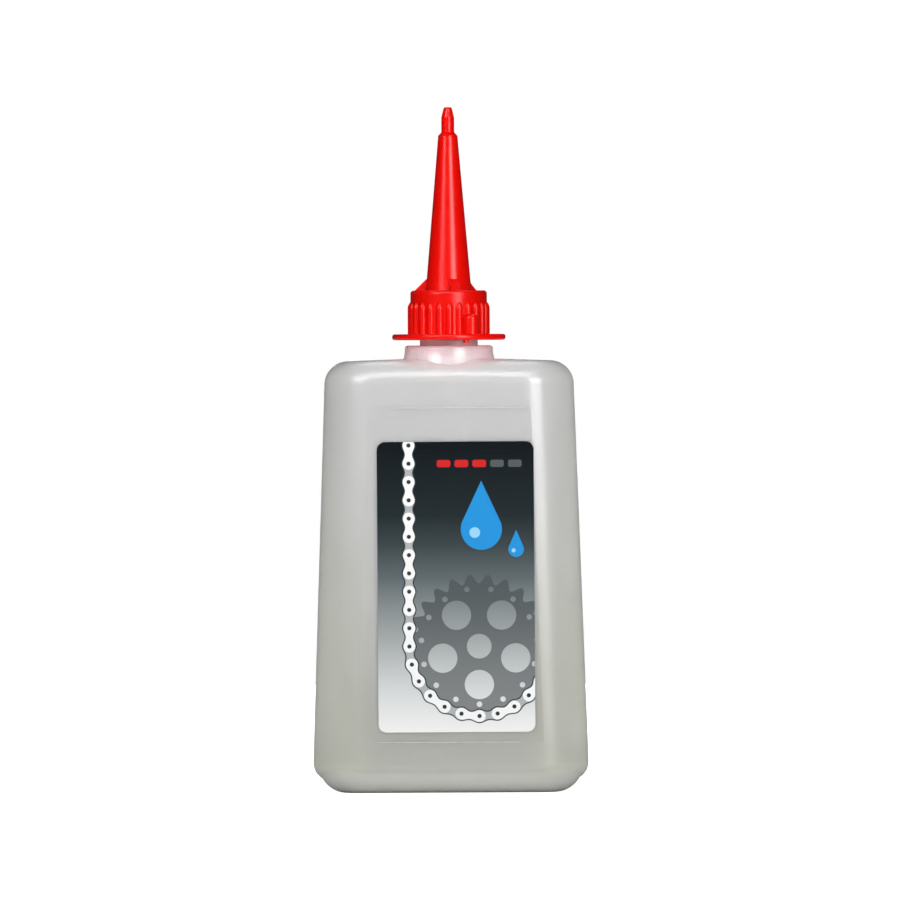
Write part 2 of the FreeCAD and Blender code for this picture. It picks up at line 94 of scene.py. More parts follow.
bpy.ops.object.select_all(action="DESELECT")
bpy.ops.mesh.primitive_plane_add(size=FLOOR_SIZE, location=(0, 0, -FLOOR_GAP))
floor = bpy.context.object
floor.name = "studio_floor"
floor_paint = bpy.data.materials.new("studio_white")
floor_paint.use_nodes = True
floor_nodes = floor_paint.node_tree.nodes
floor_links = floor_paint.node_tree.links
floor_shader = floor_nodes["Principled BSDF"]
floor_shader.inputs["Base Color"].default_value = FLOOR_GREY
floor_shader.inputs["Roughness"].default_value = FLOOR_ROUGHNESS
floor_shader.inputs["Specular IOR Level"].default_value = 0.0
floor_shader.inputs["Emission Color"].default_value = WHITE
camera_ray = floor_nodes.new("ShaderNodeLightPath").outputs["Is Camera Ray"]
floor_links.new(camera_ray, floor_shader.inputs["Emission Strength"])
floor.data.materials.append(floor_paint)
print("floor", FLOOR_SIZE, "m wide,", round(FLOOR_GAP / MM, 2), "mm under the base")

# %% [markdown]
# The floor lies a hair under the base, so that the two never flicker through each other. It has one side
# only: seen from below it is clear, and the underside of the bottle can be looked at.

# %% One-sided floor
from_below = floor_nodes.new("ShaderNodeNewGeometry").outputs["Backfacing"]
nothing = floor_nodes.new("ShaderNodeBsdfTransparent")
one_sided = floor_nodes.new("ShaderNodeMixShader")
floor_links.new(from_below, one_sided.inputs["Fac"])
floor_links.new(floor_shader.outputs[0], one_sided.inputs[1])
floor_links.new(nothing.outputs[0], one_sided.inputs[2])
floor_links.new(one_sided.outputs[0], floor_nodes["Material Output"].inputs["Surface"])
print(floor_paint.name, "has", len(floor_nodes), "nodes")

# %% [markdown]
# ## The lights
# Four soft boxes give the shine, and the plastic shows a mirror image of each. The right one stands low, and
# its image runs down the bottle's corner. The left one hangs higher, and only the round shoulder catches it.
# One above the camera lights the crown and the cap, and one overhead, a little behind, draws the shoulder's
# far edge. Milky plastic also glows with what passes through it. More soft boxes could do that, but their
# images would crowd the walls. So the fills, one behind, one in front and a narrow grid at each side, are
# hidden from mirror images.

# %% Soft boxes
SOFT_BOXES = {
    "left_box": {"turn": -37, "rise": 25, "away": 1.0, "size": (0.40, 0.42), "watts": 3.3},
    "right_box": {"turn": 28, "rise": 14.0, "away": 0.95, "size": (0.38, 0.44), "watts": 3.8},
    "top_box": {"turn": 0, "rise": 45, "away": 0.8, "size": (0.6, 0.3), "watts": 2.1},
    "over_box": {"turn": 180, "rise": 63, "away": 1.0, "size": (0.6, 0.5), "watts": 1.5},
}
GRID_AIM = Vector((0, 0, 51 * MM))
SIDE_GRID = {"rise": 0, "away": 0.25, "size": (0.16, 0.089), "spread": 5, "aim": GRID_AIM}
FILLS = {
    "back_fill": {"turn": 180, "rise": 4, "away": 1.0, "size": (0.5, 0.25), "watts": 8.0},
    "front_fill": {"turn": 0, "rise": 0, "away": 1.2, "size": (0.3, 0.3), "watts": 2.4},
    "left_grid": {"turn": -97, "watts": 0.027, **SIDE_GRID},
    "right_grid": {"turn": 97, "watts": 0.030, **SIDE_GRID},
}
TARGET = Vector((0, 0, 80 * MM))


def hang_light(name, turn, rise, away, size, watts, spread=180, aim=TARGET):
    """Hangs a soft box that faces aim. Lengths are in metres and angles in degrees.

    turn goes from the camera's side towards the right, and rise goes up from level.
    """
    turn, rise = math.radians(turn), math.radians(rise)
    level = math.cos(rise) * away
    place = aim + Vector((math.sin(turn) * level, -math.cos(turn) * level, math.sin(rise) * away))
    facing = (aim - place).to_track_quat("-Z", "Y").to_euler()
    bpy.ops.object.light_add(type="AREA", location=place, rotation=facing)
    box = bpy.context.object
    box.name = name
    box.data.shape = "RECTANGLE"
    box.data.size, box.data.size_y = size
    box.data.energy = watts
    box.data.spread = math.radians(spread)
    box.visible_camera = False
    return box


for name, settings in SOFT_BOXES.items():
    hang_light(name, **settings)
for name, settings in FILLS.items():
    hang_light(name, **settings).visible_glossy = False
print("lights:", [*SOFT_BOXES, *FILLS])

# %% [markdown]
# ## The room
# The world could be one plain white, but it would light the bottle from all sides, and the milky walls would
# lose their edges. Two backgrounds are mixed instead: the camera sees white, and every other ray finds a
# room that is nearly dark.

# %% Room
ROOM_LIGHT = 0.02
SEEN_LIGHT = 1.0

room = bpy.data.worlds.new("room")
room.use_nodes = True
bpy.context.scene.world = room
room_nodes = room.node_tree.nodes
room_links = room.node_tree.links
room_nodes.clear()
either = room_nodes.new("ShaderNodeMixShader")
for socket, strength in zip(either.inputs[1:], (ROOM_LIGHT, SEEN_LIGHT)):
    background = room_nodes.new("ShaderNodeBackground")
    background.inputs["Color"].default_value = WHITE
    background.inputs["Strength"].default_value = strength
    room_links.new(background.outputs[0], socket)
path = room_nodes.new("ShaderNodeLightPath")
out = room_nodes.new("ShaderNodeOutputWorld")
room_links.new(path.outputs["Is Camera Ray"], either.inputs["Fac"])
room_links.new(either.outputs[0], out.inputs["Surface"])
bpy.context.scene.view_settings.view_transform = "Standard"
print("room light", ROOM_LIGHT, "and white for the camera")

# %% [markdown]
# ## Node helpers
# Every finish is made of nodes that read the piece's own place in metres. They could be added and joined one
# by one, but the recipes would be long. So a few short helpers come first: they make a material, add a node
# with its values, join two sockets and put the finished material on a piece.

# %% Material helpers
class Recipe:
    """A material under construction."""

    def __init__(self, name):
        self.material = bpy.data.materials.new(name)
        self.material.use_nodes = True
        self.nodes = self.material.node_tree.nodes
        self.links = self.material.node_tree.links
        self.shader = self.nodes["Principled BSDF"]
        self.place = self.nodes.new("ShaderNodeTexCoord").outputs["Object"]

    def add(self, kind, **settings):
        """Adds a node with its settings."""
        node = self.nodes.new(kind)
        for name, setting in settings.items():
            setattr(node, name, setting)
        return node

    def fill(self, socket, source):
        """Sets a socket to a number or colour, or joins it to another node's socket."""
        if isinstance(source, bpy.types.NodeSocket):
            self.links.new(source, socket)
        else:
            socket.default_value = source

    def set(self, **values):
        """Constants straight on the shader's own sockets."""
        for name, value in values.items():
            self.shader.inputs[name.replace("_", " ")].default_value = value

    def paint(self, **sources):
        """Joins finished nodes to the shader's sockets."""
        for name, source in sources.items():
            self.links.new(source, self.shader.inputs[name.replace("_", " ")])

    def put_on(self, *pieces):
        """Makes this the only material of the pieces."""
        for piece in pieces:
            piece.data.materials.clear()
            piece.data.materials.append(self.material)
        print(self.material.name, "has", len(self.nodes), "nodes, on", [piece.name for piece in pieces])


# %% [markdown]
# The second set of helpers makes patterns: sums, distances, soft noise, a smooth step from one value to
# another, one colour over another, and a raised surface.

# %% Pattern helpers
NOISE_SPAN = (0.3, 0.7)
MIX_SOCKETS = {"FLOAT": (2, 3, 0), "RGBA": (6, 7, 2)}


class Finish(Recipe):
    """A material with patterns. Nearly all of the noise lies within NOISE_SPAN."""

    def maths(self, operation, *sources):
        """One operation, such as ADD or COSINE, on numbers and sockets."""
        node = self.add("ShaderNodeMath", operation=operation)
        for socket, source in zip(node.inputs, sources):
            self.fill(socket, source)
        return node.outputs[0]

    def axis(self, letter):
        """The piece's own x, y or z in metres."""
        split = self.add("ShaderNodeSeparateXYZ")
        self.links.new(self.place, split.inputs[0])
        return split.outputs[letter.upper()]

    def away_from(self, point):
        """The distance from a point in metres."""
        node = self.add("ShaderNodeVectorMath", operation="DISTANCE")
        self.links.new(self.place, node.inputs[0])
        node.inputs[1].default_value = point
        return node.outputs["Value"]

    def noise(self, size, detail=2.0, stretch=1.0):
        """Soft noise whose blotches are about size wide and stretch times as tall, from 0 to 1."""
        squeeze = self.add("ShaderNodeMapping")
        squeeze.inputs["Scale"].default_value = (1.0, 1.0, 1.0 / stretch)
        self.links.new(self.place, squeeze.inputs["Vector"])
        node = self.add("ShaderNodeTexNoise")
        self.links.new(squeeze.outputs[0], node.inputs["Vector"])
        node.inputs["Scale"].default_value = 1 / size
        node.inputs["Detail"].default_value = detail
        return node.outputs["Fac"]

    def between(self, amount, low, high, start=0.0, end=1.0):
        """Goes from low to high as amount goes from start to end."""
        node = self.add("ShaderNodeMapRange", interpolation_type="SMOOTHSTEP")
        for name, source in (("Value", amount), ("From Min", start), ("From Max", end),
                             ("To Min", low), ("To Max", high)):
            self.fill(node.inputs[name], source)
        return node.outputs["Result"]

    def patches(self, size, low, high):
        """Drifts from low to high in patches of about size."""
        return self.between(self.noise(size), low, high, *NOISE_SPAN)

    def mix(self, kind, amount, first, second):
        """From first to second by amount. The Mix node has other sockets for numbers than for colours."""
        node = self.add("ShaderNodeMix", data_type=kind)
        first_socket, second_socket, result = MIX_SOCKETS[kind]
        for socket, source in ((0, amount), (first_socket, first), (second_socket, second)):
            self.fill(node.inputs[socket], source)
        return node.outputs[result]

    def blend(self, amount, below, above):
        """One colour over another, by amount."""
        return self.mix("RGBA", amount, below, above)

    def bump(self, height, depth, under=None):
        """Raises the surface by height times depth, on top of the bumps under it."""
        node = self.add("ShaderNodeBump")
        node.inputs["Strength"].default_value = 1.0
        node.inputs["Distance"].default_value = depth
        self.links.new(height, node.inputs["Height"])
        if under is not None:
            self.links.new(under, node.inputs["Normal"])
        return node.outputs["Normal"]


# %% [markdown]
# ## Milky polyethylene
# A blown bottle is natural polyethylene, cloudy and a touch green. Light goes into the wall, scatters and
# comes out near by or on the inside. Glass round a murky volume could show that, but slowly and with much
# noise, so subsurface scattering is used. The tint changes over the bottle, and most of that change is
# painted light. It is paler towards the top, in drifting clouds, as painted light from above. The corners
# are warmer in colour, and painted paler as light on the narrow sides. The foot is painted pale, as if lit
# from the floor. Round the neck a painted red glow stands in for the cap's light in the plastic, brightest
# on the bare neck in the flange's shade.

# %% Bottle tint
LOW_TINT = (0.54, 0.55, 0.50, 1)
TOP_LIGHT_TINT = (0.99, 0.99, 0.975, 1)
CORNER_LIGHT_TINT = (0.91, 0.93, 0.62, 1)
FOOT_LIGHT_TINT = (0.80, 0.81, 0.73, 1)
PAINTED_CAP_GLOW = (0.96, 0.595, 0.635, 1)
PAINTED_NECK_GLOW = (1.0, 0.60, 0.60, 1)
CLOUD_SIZE = 22 * MM
CLOUD_LIFT = 20 * MM
PAINTED_LIGHT_UP = (20 * MM, 105 * MM)
CORNER_FROM_MIDDLE = (14 * MM, 29 * MM)
CORNER_SHARE = 0.6
FOOT_HEIGHT = (2 * MM, 6.5 * MM)
NECK_MIDDLE = (0, 0, 100 * MM)
CAP_GLOW_REACH = (6 * MM, 21 * MM)
BARE_NECK_REACH = (6.6 * MM, 9 * MM)

milky = Finish("milky_polyethylene")
cloud = milky.maths("MULTIPLY", milky.noise(CLOUD_SIZE, detail=3), CLOUD_LIFT)
upper = milky.between(milky.maths("ADD", milky.axis("z"), cloud), 0.0, 1.0, *PAINTED_LIGHT_UP)
corner = milky.between(milky.maths("ABSOLUTE", milky.axis("x")), 0.0, 1.0, *CORNER_FROM_MIDDLE)
foot = milky.between(milky.axis("z"), 1.0, 0.0, *FOOT_HEIGHT)
from_neck = milky.away_from(NECK_MIDDLE)
near_cap = milky.between(from_neck, 1.0, 0.0, *CAP_GLOW_REACH)
bare_neck = milky.between(from_neck, 1.0, 0.0, *BARE_NECK_REACH)
# Painted light from above: the bottle gets paler towards the top.
tint = milky.blend(upper, LOW_TINT, TOP_LIGHT_TINT)
# Painted light on the narrow sides: the corners are painted paler, and warmer in colour.
tint = milky.blend(milky.maths("MULTIPLY", corner, CORNER_SHARE), tint, CORNER_LIGHT_TINT)
# Painted light from the floor: the foot is painted paler.
tint = milky.blend(foot, tint, FOOT_LIGHT_TINT)
# Painted red light from the cap round the neck, and brighter painted light on the bare neck in the flange's
# shade.
tint = milky.blend(near_cap, tint, PAINTED_CAP_GLOW)
tint = milky.blend(bare_neck, tint, PAINTED_NECK_GLOW)
print("tint takes", len(milky.nodes), "nodes")

# %% [markdown]
# The scale of the scattering says how far light gets in the plastic. One value would do for an even wall.
# Here it gets furthest in the thin corners, less far in the front, and hardly at all in the bare neck, so
# each of these has a value of its own, and the same masks as for the tint choose between them.

# %% Bottle wall
FRONT_DEPTH = 5.4 * MM
CORNER_DEPTH = 10.5 * MM
COLLAR_DEPTH = 3.5 * MM
NECK_DEPTH = 0.25 * MM

light_depth = milky.between(corner, FRONT_DEPTH, CORNER_DEPTH)
light_depth = milky.between(near_cap, light_depth, COLLAR_DEPTH)
light_depth = milky.between(bare_neck, light_depth, NECK_DEPTH)
milky.set(Subsurface_Weight=1.0, Subsurface_Radius=(1.0, 1.0, 1.0))
milky.paint(Base_Color=tint, Subsurface_Scale=light_depth)
print("light gets", round(NECK_DEPTH / MM, 2), "to", round(CORNER_DEPTH / MM, 2), "mm into the wall")

# %% [markdown]
# The parison stretches as it is blown, so the skin has broad faint ripples. It also has fine upright lines
# from the die that it was drawn through, and a satin grain from the mould. All three are far too shallow to
# model, so they are bumps, one on top of another.

# %% Bottle skin
GRAIN_SIZE = 0.3 * MM
GRAIN_DEPTH = 0.002 * MM
DIE_LINE_WIDTH = 0.9 * MM
DIE_LINE_STRETCH = 60
DIE_LINE_DEPTH = 0.004 * MM
RIPPLE_SIZE = 14 * MM
RIPPLE_STRETCH = 1.8
RIPPLE_DEPTH = 0.10 * MM
SATIN = {"size": 7 * MM, "low": 0.25, "high": 0.27}

grain = milky.bump(milky.noise(GRAIN_SIZE), GRAIN_DEPTH)
die_lines = milky.bump(milky.noise(DIE_LINE_WIDTH, stretch=DIE_LINE_STRETCH), DIE_LINE_DEPTH, grain)
ripples = milky.bump(milky.noise(RIPPLE_SIZE, detail=0, stretch=RIPPLE_STRETCH), RIPPLE_DEPTH, die_lines)
milky.set(Specular_IOR_Level=1.0)
milky.paint(Roughness=milky.patches(**SATIN), Normal=ripples)
milky.put_on(bottle)

# %% [markdown]
# ## Ridge finish
# Parting line, beads and neck thread are the same plastic as the wall. They could share its finish, but they
# are far thinner than the distance that light gets in it, and scattering would blur them away. So they have
# a plain finish, with the wall's grain, and their greys get paler towards the top as painted light from
# above.

# %% Ridge plastic
RIDGE_LOW = (0.52, 0.53, 0.49, 1)
RIDGE_TOP_LIGHT = (0.74, 0.745, 0.735, 1)
RIDGE_PAINTED_LIGHT_UP = (10 * MM, 95 * MM)
RIDGE_SATIN = {"size": 2 * MM, "low": 0.25, "high": 0.32}

ridge = Finish("milky_ridge")
ridge.set(Specular_IOR_Level=0.9)
ridge_lit_from_above = ridge.between(ridge.axis("z"), 0.0, 1.0, *RIDGE_PAINTED_LIGHT_UP)
ridge_grain = ridge.bump(ridge.noise(GRAIN_SIZE), GRAIN_DEPTH)
# Painted light from above: the greys get paler towards the top.
ridge.paint(Base_Color=ridge.blend(ridge_lit_from_above, RIDGE_LOW, RIDGE_TOP_LIGHT),
            Roughness=ridge.patches(**RIDGE_SATIN), Normal=ridge_grain)
print(ridge.material.name, "has", len(ridge.nodes), "nodes")

# %% [markdown]
# ## Red cap
# The cap is injected polyethylene: saturated, a little waxy, with the fine spark-eroded grain of its mould.
# A plain glossy red would look like paint. So a little red light is scattered near the surface, two close
# reds flow along the spout, and the grain breaks the long highlights into sparkle.

# %% Cap plastic
DEEP_RED = (0.80, 0.003, 0.001, 1)
BRIGHT_RED = (0.86, 0.004, 0.001, 1)
FLOW_SIZE = 12 * MM
FLOW_STRETCH = 2.5
GLOW_SHARE = 0.6
GLOW_COLOUR = (1.0, 0.05, 0.03)
GLOW_DEPTH = 1 * MM
SPARK_SIZE = 0.28 * MM
SPARK_DEPTH = 0.006 * MM
WAX = {"size": 2 * MM, "low": 0.22, "high": 0.27}

red = Finish("red_polyethylene")
red.set(Specular_IOR_Level=0.42, Subsurface_Weight=GLOW_SHARE, Subsurface_Radius=GLOW_COLOUR,
        Subsurface_Scale=GLOW_DEPTH)
flow = red.noise(FLOW_SIZE, detail=1, stretch=FLOW_STRETCH)
spark = red.bump(red.noise(SPARK_SIZE, detail=3), SPARK_DEPTH)
red.paint(Base_Color=red.blend(flow, DEEP_RED, BRIGHT_RED), Roughness=red.patches(**WAX), Normal=spark)
red.put_on(cap)

# %% [markdown]
# ## Label film
# The label is a printed film, near-black at the top and fading to white at the bottom. The print could be a
# picture file, but a drawing in nodes needs no file and stays sharp at any distance. Each shape is a distance
# in millimetres from its own outline, below zero inside, and a narrow soft step turns it into ink.

# %% Printing helpers
INK_EDGE = 0.05


class Print(Finish):
    """A printed film, drawn in millimetres from its middle, across and up."""

    def __init__(self, name, middle):
        super().__init__(name)
        self.across = self.maths("DIVIDE", self.maths("SUBTRACT", self.axis("x"), middle.x), MM)
        self.up = self.maths("DIVIDE", self.maths("SUBTRACT", self.axis("z"), middle.z), MM)

    def about(self, across, up):
        """Measures from another point."""
        return self.maths("SUBTRACT", self.across, across), self.maths("SUBTRACT", self.up, up)

    def length(self, across, up):
        """The straight distance, from the distances across and up."""
        join = self.add("ShaderNodeCombineXYZ")
        self.fill(join.inputs["X"], across)
        self.fill(join.inputs["Y"], up)
        size = self.add("ShaderNodeVectorMath", operation="LENGTH")
        self.links.new(join.outputs[0], size.inputs[0])
        return size.outputs["Value"]

    def choose(self, switch, off, on):
        """off where switch is 0, on where it is 1."""
        return self.mix("FLOAT", switch, off, on)

    def ink(self, distance):
        """1 inside a shape and 0 outside it."""
        return self.between(distance, 1.0, 0.0, -INK_EDGE, INK_EDGE)

    def lay(self, paper, distance, colour):
        """Prints a colour wherever distance is below zero."""
        return self.blend(self.ink(distance), paper, colour)


film = Print("printed_film", label_middle)
print("label middle", round(label_middle.z / MM, 2), "mm up")

# %% [markdown]
# The ground comes first. A blend of two greys would fade too evenly, because the print stays dark for long
# and then clears quickly. So a colour ramp holds several greys, each with its height from the middle.

# %% Label ground
GROUND = [
    (-31.8, (0.84, 0.84, 0.83, 1)),
    (-23.0, (0.63, 0.65, 0.66, 1)),
    (-12.0, (0.35, 0.38, 0.38, 1)),
    (1.6, (0.105, 0.13, 0.14, 1)),
    (9.0, (0.040, 0.054, 0.058, 1)),
    (15.5, (0.014, 0.022, 0.026, 1)),
    (31.8, (0.004, 0.007, 0.009, 1)),
]
HALF_WAY = 0.5

ramp = film.add("ShaderNodeValToRGB")
bottom, top = GROUND[0][0], GROUND[-1][0]
film.fill(ramp.inputs[0], film.maths("DIVIDE", film.maths("SUBTRACT", film.up, bottom), top - bottom))
stops = ramp.color_ramp.elements
while len(stops) < len(GROUND):
    stops.new(HALF_WAY)
for stop, (height, colour) in zip(stops, GROUND):
    stop.position = (height - bottom) / (top - bottom)
    stop.color = colour
print("ground fades through", len(stops), "greys")

# %% [markdown]
# ## Sprocket
# The largest shape on the label is a sprocket. Its teeth could be drawn one by one, but a cosine of the angle
# round the hub makes them all at once. In the same way, folding the angle turns one hole into a whole ring of
# holes. The wheel is what is left of the disc when windows, rim holes and hub hole are taken out.

# %% Sprocket sizes
TEETH = 24
LINK = 4.0
PITCH_RADIUS = TEETH * LINK / (2 * math.pi)
WHEEL = (5.0, -13.0)
TOOTH = 1.0
WINDOWS = 5
WINDOW_AT = 8.4
WINDOW_RADIUS = 3.2
RIM_HOLES = 15
RIM_HOLE_AT = 12.7
RIM_HOLE_RADIUS = 0.6
HUB_HOLE = 2.7
STEEL_LOW = (0.20, 0.215, 0.22, 1)
STEEL_HIGH = (0.075, 0.09, 0.096, 1)
STEEL_DARKER_UP = (-28.0, 3.0)
print("sprocket radius", round(PITCH_RADIUS, 2), "mm on the label")

# %% Sprocket
wheel_across, wheel_up = film.about(*WHEEL)
from_hub = film.length(wheel_across, wheel_up)
angle = film.maths("ARCTAN2", wheel_across, film.maths("MULTIPLY", wheel_up, -1.0))


def ring_of_holes(count, out, radius):
    """Below zero outside the holes of a ring, which lie out from the hub."""
    step = 2 * math.pi / count
    nearest = film.maths("MULTIPLY", film.maths("ROUND", film.maths("DIVIDE", angle, step)), step)
    left_over = film.maths("SUBTRACT", angle, nearest)
    outwards = film.maths("MULTIPLY", from_hub, film.maths("COSINE", left_over))
    aside = film.maths("MULTIPLY", from_hub, film.maths("SINE", left_over))
    from_hole = film.length(film.maths("SUBTRACT", outwards, out), aside)
    return film.maths("SUBTRACT", radius, from_hole)


teeth = film.maths("MULTIPLY", film.maths("COSINE", film.maths("MULTIPLY", angle, TEETH)), -TOOTH)
wheel = film.maths("SUBTRACT", from_hub, film.maths("ADD", teeth, PITCH_RADIUS - TOOTH / 2))
for hole in (ring_of_holes(WINDOWS, WINDOW_AT, WINDOW_RADIUS),
             ring_of_holes(RIM_HOLES, RIM_HOLE_AT, RIM_HOLE_RADIUS),
             film.maths("SUBTRACT", HUB_HOLE, from_hub)):
    wheel = film.maths("MAXIMUM", wheel, hole)
steel = film.blend(film.between(film.up, 0.0, 1.0, *STEEL_DARKER_UP), STEEL_LOW, STEEL_HIGH)
paper = film.lay(ramp.outputs["Color"], wheel, steel)
print("sprocket with", TEETH, "teeth and", WINDOWS + RIM_HOLES + 1, "holes")

# %% [markdown]
# ## Chain
# The chain hangs straight down at the left and runs round the lower half of the sprocket. Single links could
# be placed along it, but the same result comes from two distances: how far a point lies beside the path, and
# how many links along it. The first is measured from a line above the hub and from a circle below it.

# %% Chain path
below_hub = film.maths("LESS_THAN", wheel_up, 0.0)
beside_line = film.maths("ADD", wheel_across, PITCH_RADIUS)
beside_circle = film.maths("SUBTRACT", from_hub, PITCH_RADIUS)
sideways = film.maths("ABSOLUTE", film.choose(below_hub, beside_line, beside_circle))
round_links = film.maths("MULTIPLY", angle, TEETH / (2 * math.pi))
straight_links = film.maths("SUBTRACT", -TEETH / 4, film.maths("DIVIDE", wheel_up, LINK))
links_along = film.choose(below_hub, straight_links, round_links)
print(TEETH // 2, "links round the sprocket")

# %% Chain links
PLATE = 1.32
WAIST = 0.78
PIN = 0.46
OUTLINE = 0.28
WHITE_INK = (0.86, 0.87, 0.87, 1)
GREY_INK = (0.40, 0.42, 0.43, 1)
DARK_INK = (0.03, 0.036, 0.04, 1)

swell = film.maths("COSINE", film.maths("MULTIPLY", links_along, 2 * math.pi))
half_plate = film.maths("ADD", film.maths("MULTIPLY", swell, (PLATE - WAIST) / 2), (PLATE + WAIST) / 2)
chain = film.maths("SUBTRACT", sideways, half_plate)
to_pin = film.maths("SUBTRACT", links_along, film.maths("ROUND", links_along))
from_pin = film.length(sideways, film.maths("MULTIPLY", to_pin, LINK))
odd_link = film.maths("FLOORED_MODULO", film.maths("FLOOR", links_along), 2.0)
plate_end = film.ink(film.maths("SUBTRACT", from_pin, PLATE))
outer_plate = film.maths("MAXIMUM", odd_link, plate_end)
paper = film.lay(paper, film.maths("SUBTRACT", chain, OUTLINE), DARK_INK)
paper = film.lay(paper, chain, film.blend(outer_plate, GREY_INK, WHITE_INK))
paper = film.lay(paper, film.maths("SUBTRACT", from_pin, PIN), DARK_INK)
print("link plates", 2 * PLATE, "mm high and", 2 * WAIST, "mm at the waist")

# %% [markdown]
# ## Drops and bars
# Two drops of oil fall beside the chain. They could be plain discs, but a point above tells a drop from a
# dot. Two straight flanks leave the disc without a kink and meet in the point, and a pale disc low on the
# left is the shine.

# %% Drops
DROPS = [
    {"across": 5.6, "up": 12.6, "radius": 4.5, "tip": 10.6},
    {"across": 13.2, "up": 8.2, "radius": 1.7, "tip": 4.2},
]
SHINE_LEFT = 0.32
SHINE_DOWN = 0.16
SHINE_SHARE = 0.26
BLUE_INK = (0.010, 0.27, 0.66, 1)
PALE_BLUE_INK = (0.30, 0.62, 0.86, 1)


def disc(across, up, radius):
    """The distance from a round outline."""
    return film.maths("SUBTRACT", film.length(*film.about(across, up)), radius)


def drop(across, up, radius, tip):
    """The distance from a disc that runs into a point, tip above its middle."""
    aside, above = film.about(across, up)
    lean = math.asin(radius / tip)
    outwards = film.maths("MULTIPLY", film.maths("ABSOLUTE", aside), math.cos(lean))
    upwards = film.maths("MULTIPLY", above, math.sin(lean))
    flank = film.maths("SUBTRACT", film.maths("ADD", outwards, upwards), radius)
    pointed = film.maths("GREATER_THAN", above, radius * math.sin(lean))
    return film.choose(pointed, disc(across, up, radius), flank)


for place in DROPS:
    across, up, radius = place["across"], place["up"], place["radius"]
    shine = disc(across - radius * SHINE_LEFT, up - radius * SHINE_DOWN, radius * SHINE_SHARE)
    paper = film.lay(paper, drop(**place), BLUE_INK)
    paper = film.lay(paper, shine, PALE_BLUE_INK)
print(len(DROPS), "drops")

# %% [markdown]
# A row of bars at the top shows a grade, as on a gauge: some are red and the others dull. A bar is the
# distance from a smaller bar inside it, less the radius of its corners.

# %% Bars
BARS = 5
RED_BARS = 3
BAR_GAP = 3.9
FIRST_BAR = (-2.6, 27.0)
BAR_HALF_WIDTH = 1.5
BAR_HALF_HEIGHT = 0.8
BAR_CORNER = 0.5
RED_INK = (0.60, 0.012, 0.014, 1)
DULL_INK = (0.085, 0.095, 0.10, 1)


def beyond(distance, limit):
    """How far distance goes past limit on either side, or 0."""
    return film.maths("MAXIMUM", film.maths("SUBTRACT", film.maths("ABSOLUTE", distance), limit), 0.0)


def bar(across, up):
    """The distance from a bar with round corners."""
    aside, above = film.about(across, up)
    past_end = beyond(aside, BAR_HALF_WIDTH - BAR_CORNER)
    past_top = beyond(above, BAR_HALF_HEIGHT - BAR_CORNER)
    return film.maths("SUBTRACT", film.length(past_end, past_top), BAR_CORNER)


for number in range(BARS):
    ink = RED_INK if number < RED_BARS else DULL_INK
    paper = film.lay(paper, bar(FIRST_BAR[0] + number * BAR_GAP, FIRST_BAR[1]), ink)
print(BARS, "bars,", RED_BARS, "of them red")

# %% [markdown]
# ## Label surface
# The film is smoother than the bottle, with a fine unevenness from the glue behind it. A separate clear coat
# could give its shine, but one low reflection is enough for a film that is half gloss.

# %% Label surface
PEEL_SIZE = 0.6 * MM
PEEL_DEPTH = 0.0015 * MM
HALF_GLOSS = {"size": 4 * MM, "low": 0.21, "high": 0.23}

film.set(Specular_IOR_Level=0.3)
peel = film.bump(film.noise(PEEL_SIZE), PEEL_DEPTH)
film.paint(Base_Color=paper, Roughness=film.patches(**HALF_GLOSS), Normal=peel)
film.put_on(label)

# %% [markdown]
# ## Modelling helpers
# The fine pieces are modelled in edit mode, as by hand. Each starts from a primitive in an empty selection,
# and its place is applied to the mesh, so that the object itself stays at the origin. Faces are then picked
# by where they lie, because an operator works on whatever is selected.

# %% Modelling helpers
MERGE_DISTANCE = 0.002 * MM
FACING = 0.9


def start_piece(name):
    """Applies the new primitive's place, names it and opens it with nothing selected."""
    piece = bpy.context.object
    piece.name = piece.data.name = name
    bpy.ops.object.transform_apply(location=True, rotation=True, scale=True)
    bpy.ops.object.mode_set(mode="EDIT")
    bpy.ops.mesh.select_all(action="DESELECT")
    return piece


def pick_faces(piece, wanted):
    """Selects the faces whose middle and normal are wanted, and nothing else."""
    bpy.ops.mesh.select_all(action="DESELECT")
    bpy.ops.object.mode_set(mode="OBJECT")
    for face in piece.data.polygons:
        face.select = bool(wanted(face.center, face.normal))
    bpy.ops.object.mode_set(mode="EDIT")
    bpy.ops.mesh.select_mode(type="FACE")


def close_piece():
    """Merges doubles, turns the faces outwards and leaves edit mode."""
    bpy.ops.mesh.select_all(action="SELECT")
    bpy.ops.mesh.remove_doubles(threshold=MERGE_DISTANCE)
    bpy.ops.mesh.normals_make_consistent(inside=False)
    bpy.ops.object.mode_set(mode="OBJECT")


# %% [markdown]
# Modifiers are applied as soon as they are set, so that the mesh is what counts. A finished piece is shaded
# smooth except at sharp edges, and is then given its finish and the body that carries it.

# %% Finishing helpers
SHARP_ANGLE = math.radians(35)


def apply_modifier(piece, kind, **settings):
    """Adds a modifier with its settings and applies it."""
    modifier = piece.modifiers.new(kind.lower(), kind)
    for name, setting in settings.items():
        setattr(modifier, name, setting)
    bpy.ops.object.modifier_apply(modifier=modifier.name)


def fit_piece(piece, body, finish):
    """Gives a finished piece its finish and the body that carries it."""
    bpy.ops.object.shade_smooth_by_angle(angle=SHARP_ANGLE)
    finish.put_on(piece)
    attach(piece, body)
    sides = zip(*(point.co for point in piece.data.vertices))
    size = [round((max(side) - min(side)) / MM, 2) for side in sides]
    print(piece.name, len(piece.data.polygons), "faces,", size, "mm")


